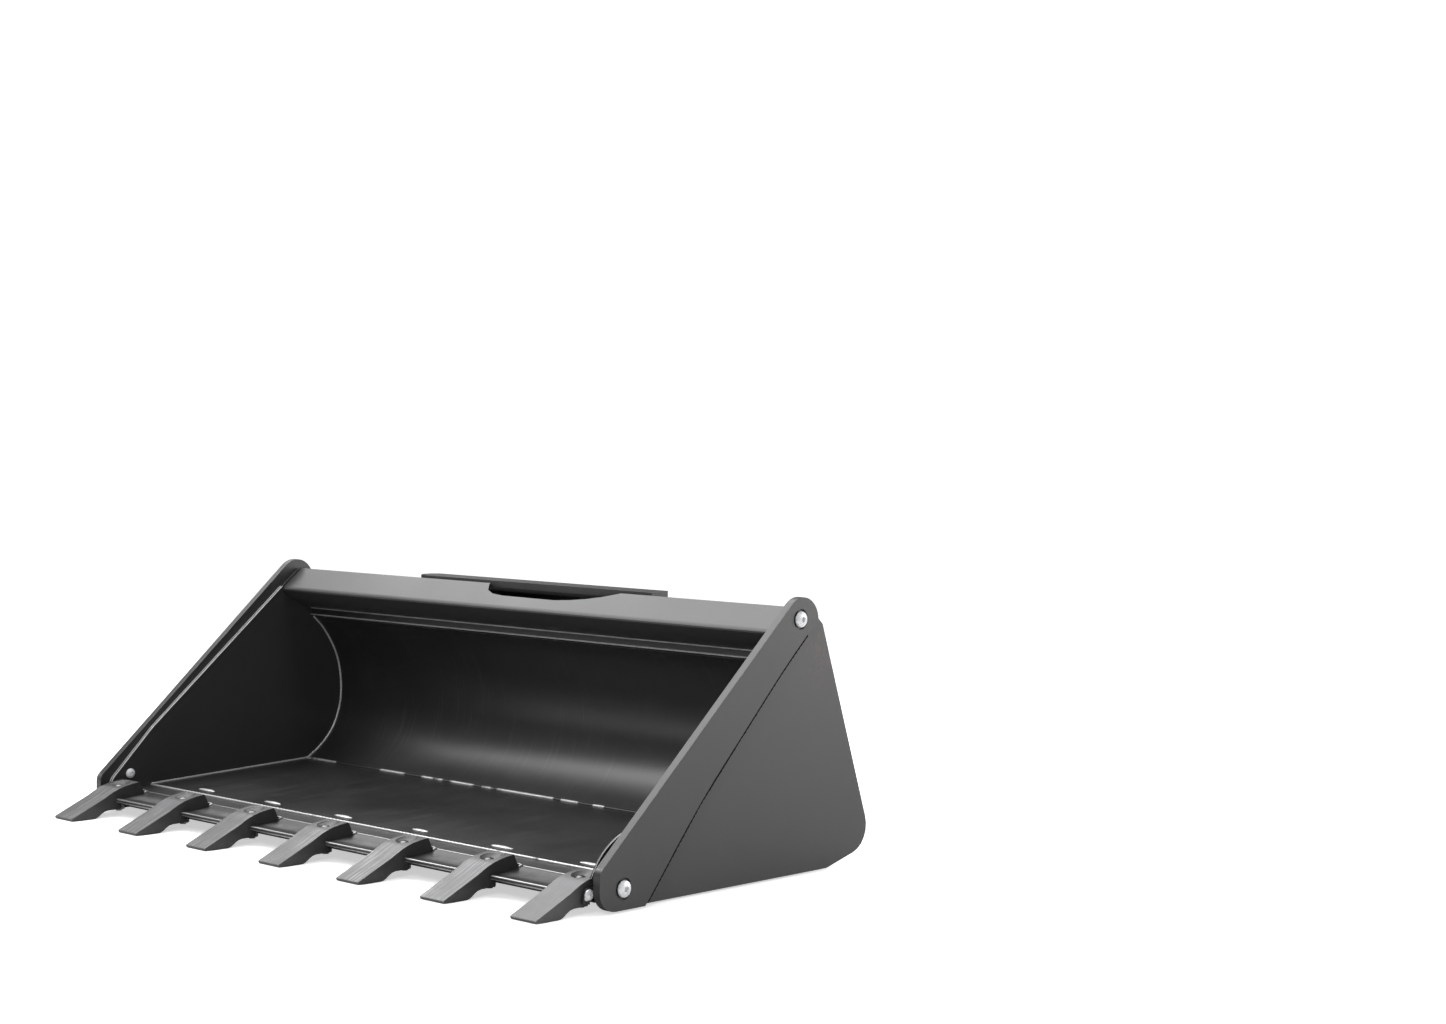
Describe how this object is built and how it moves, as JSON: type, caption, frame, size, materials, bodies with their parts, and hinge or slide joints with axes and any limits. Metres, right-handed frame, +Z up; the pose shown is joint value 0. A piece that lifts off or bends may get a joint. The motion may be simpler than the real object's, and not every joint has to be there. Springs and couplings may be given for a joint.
{
  "type": "skid steer bucket",
  "caption": "Wide open scoop of black painted plate with wedge teeth along its front edge, bolted side cutters and a quick-attach plate on its back.",
  "frame": {"origin": "on the ground under the middle of the part's bounding box", "axes": "+X across the width, +Y towards the machine, +Z up; the teeth point towards -Y"},
  "size_m": [1.8978, 1.0944, 0.6289],
  "materials": {
    "black_paint": "semi-gloss black paint",
    "edge_steel": "black paint worn smooth by use",
    "tooth_steel": "bare cast steel, ground along the blade",
    "zinc": "bright zinc plate"
  },
  "bodies": {
    "root": {"shell": "black_paint", "floor_plate": "black_paint", "side_plate_left": "black_paint", "side_plate_right": "black_paint", "side_cutter_left": "black_paint", "side_cutter_right": "black_paint", "top_beam": "black_paint", "top_lip": "black_paint", "end_block_left": "black_paint", "end_block_right": "black_paint", "skid_bar_1": "black_paint", "skid_bar_2": "black_paint", "skid_bar_3": "black_paint", "skid_bar_4": "black_paint", "mount_face_plate": "black_paint", "mount_hook_rail": "black_paint", "mount_bottom_rail": "black_paint", "top_plate_left": "black_paint", "top_plate_right": "black_paint", "mount_gusset_left": "black_paint", "rear_rib_left": "black_paint", "rear_rib_right": "black_paint", "mount_gusset_right": "black_paint", "cutting_edge": "edge_steel", "edge_segment_1": "edge_steel", "edge_segment_2": "edge_steel", "edge_segment_3": "edge_steel", "edge_segment_4": "edge_steel", "edge_segment_5": "edge_steel", "edge_segment_6": "edge_steel", "tooth_1": "tooth_steel", "tooth_bolt_1": "zinc", "tooth_nut_1": "zinc", "tooth_2": "tooth_steel", "tooth_bolt_2": "zinc", "tooth_nut_2": "zinc", "tooth_3": "tooth_steel", "tooth_bolt_3": "zinc", "tooth_nut_3": "zinc", "tooth_4": "tooth_steel", "tooth_bolt_4": "zinc", "tooth_nut_4": "zinc", "tooth_5": "tooth_steel", "tooth_bolt_5": "zinc", "tooth_nut_5": "zinc", "tooth_6": "tooth_steel", "tooth_bolt_6": "zinc", "tooth_nut_6": "zinc", "tooth_7": "tooth_steel", "tooth_bolt_7": "zinc", "tooth_nut_7": "zinc", "side_bolt_top_left": "zinc", "side_bolt_low_left": "zinc", "inner_bolt_left": "zinc", "end_bolt_left": "zinc", "side_bolt_top_right": "zinc", "side_bolt_low_right": "zinc", "inner_bolt_right": "zinc", "end_bolt_right": "zinc"}
  },
  "joints": []
}
